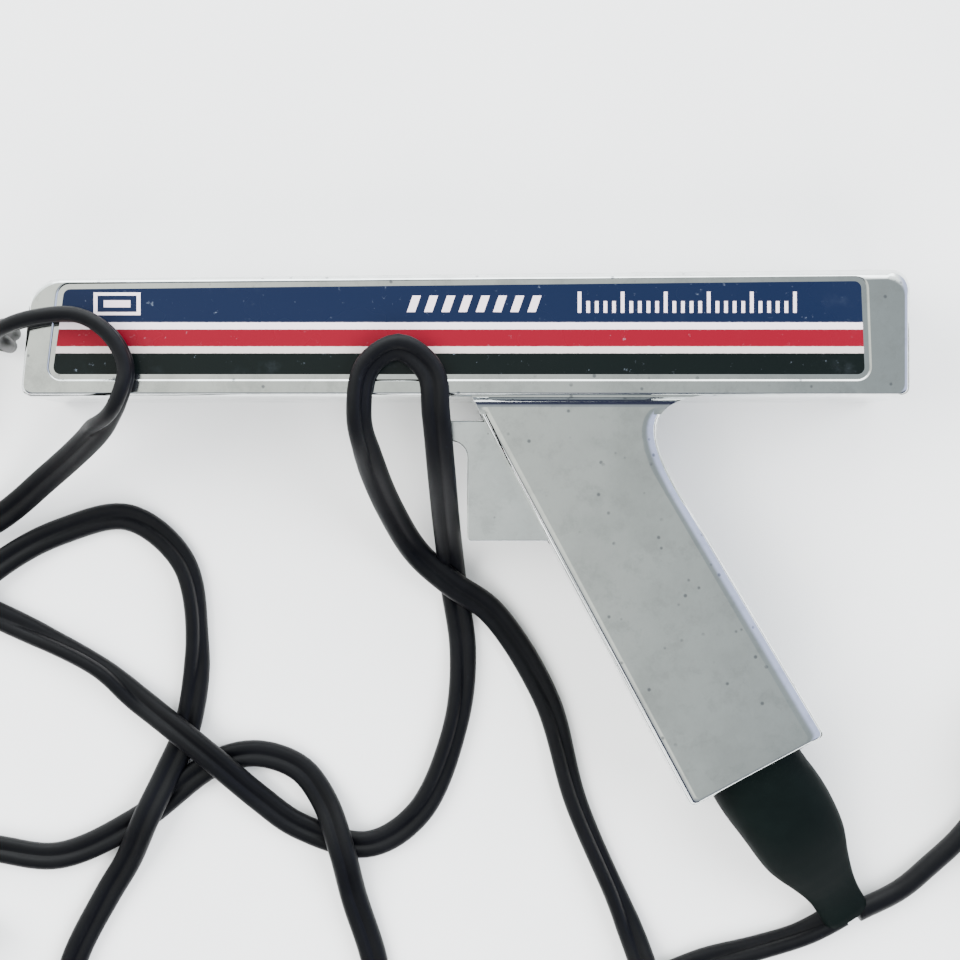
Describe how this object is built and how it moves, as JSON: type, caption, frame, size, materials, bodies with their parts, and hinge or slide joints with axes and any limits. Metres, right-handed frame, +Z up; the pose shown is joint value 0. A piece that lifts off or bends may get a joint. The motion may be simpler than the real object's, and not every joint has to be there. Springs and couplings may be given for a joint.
{
  "type": "timing light",
  "caption": "Chrome pistol-shaped inductive timing light lying on its side, with striped label, trigger, boot, twin power lead with battery clips and a pickup clamp lead.",
  "frame": {"origin": "on the resting right side face, at the middle of the barrel's length and height", "axes": "+X along the barrel to its rear, +Y to the barrel's top, +Z up through the thickness to the left side"},
  "size_m": [0.429, 0.2281, 0.0474],
  "materials": {
    "chrome": "bright chrome plate, faintly pitted with age",
    "label_print": "printed label with navy, red, white and green-black stripes",
    "black_plastic": "satin moulded black plastic",
    "lens_clear": "clear moulded lens",
    "reflector_bright": "vacuum-plated bowl",
    "tube_glass": "clear glass envelope",
    "white_plastic": "ceramic-white moulding",
    "copper_winding": "enamelled copper wire",
    "board_green": "solder-masked board",
    "cap_blue": "shrink-sleeved can",
    "sink_aluminium": "extruded fins",
    "black_epoxy": "moulded case",
    "resistor_tan": "lacquered bodies",
    "plated_steel": "zinc-plated",
    "switch_red": "moulded button",
    "boot_rubber": "matt black rubber",
    "lead_black": "satin black twin flex",
    "lead_red": "satin red sleeving",
    "vinyl_red": "glossy red vinyl",
    "vinyl_black": "glossy black vinyl",
    "ferrite": "sintered ferrite, ground faces"
  },
  "bodies": {
    "housing": {"left_shell": "chrome", "right_shell": "chrome", "left_label": "label_print", "right_label": "label_print", "lens_bezel": "black_plastic", "lens": "lens_clear", "reflector": "reflector_bright", "flash_tube": "tube_glass", "tube_holder": "white_plastic", "trigger_coil": "copper_winding", "circuit_board": "board_green", "storage_capacitor": "cap_blue", "inverter_transformer": "copper_winding", "heat_sink": "sink_aluminium", "power_transistor": "black_epoxy", "board_components": "resistor_tan", "trigger_pin": "plated_steel", "trigger_spring": "plated_steel", "micro_switch": "black_epoxy", "strain_relief": "boot_rubber", "power_lead": "lead_black", "power_lead_coil": "lead_black", "red_branch": "lead_red", "black_branch": "lead_black", "pickup_lead": "lead_black", "pickup_lead_coil": "lead_black", "pickup_fixed_half": "black_plastic", "pickup_fixed_core": "ferrite", "pickup_pin": "plated_steel", "pickup_spring": "plated_steel", "housing_screw_1": "plated_steel", "housing_screw_2": "plated_steel", "housing_screw_3": "plated_steel", "housing_screw_4": "plated_steel", "housing_screw_5": "plated_steel", "red_clip_fixed_jaw": "plated_steel", "red_clip_fixed_boot": "vinyl_red", "red_clip_rivet": "plated_steel", "red_clip_spring": "plated_steel", "black_clip_fixed_jaw": "plated_steel", "black_clip_fixed_boot": "vinyl_black", "black_clip_rivet": "plated_steel", "black_clip_spring": "plated_steel"},
    "trigger": {"trigger": "chrome"},
    "switch_plunger": {"switch_plunger": "switch_red"},
    "red_clip_jaw": {"red_clip_moving_jaw": "plated_steel", "red_clip_moving_boot": "vinyl_red"},
    "black_clip_jaw": {"black_clip_moving_jaw": "plated_steel", "black_clip_moving_boot": "vinyl_black"},
    "pickup_jaw": {"pickup_moving_half": "black_plastic", "pickup_moving_core": "ferrite"}
  },
  "joints": [
    {"name": "trigger_pull", "type": "hinge", "parent": "housing", "child": "trigger", "pos_m": [0.01255, -0.02575, 0.021], "axis": [0, 0, 1], "range_deg": [0, 8], "stiffness_Nm_per_rad": 0.6, "springref_deg": -28.65},
    {"name": "switch_press", "type": "slide", "parent": "housing", "child": "switch_plunger", "axis": [0.8813, 0.4726, 0], "range_m": [0, 0.0032]},
    {"name": "red_clip_open", "type": "hinge", "parent": "housing", "child": "red_clip_jaw", "pos_m": [-0.163, -0.1605, 0.0072], "axis": [0, 0, 1], "range_deg": [0, 26], "stiffness_Nm_per_rad": 0.5, "springref_deg": -34.38},
    {"name": "black_clip_open", "type": "hinge", "parent": "housing", "child": "black_clip_jaw", "pos_m": [-0.163, -0.1895, 0.0072], "axis": [0, 0, 1], "range_deg": [0, 26], "stiffness_Nm_per_rad": 0.5, "springref_deg": -34.38},
    {"name": "pickup_open", "type": "hinge", "parent": "housing", "child": "pickup_jaw", "pos_m": [0.188, -0.03, 0.009], "axis": [0, 0, 1], "range_deg": [0, 25], "stiffness_Nm_per_rad": 0.6, "springref_deg": -34.38}
  ],
  "couplings": [
    {"joint": "switch_press", "follows": "trigger_pull", "m_per_rad": 0.0216}
  ]
}
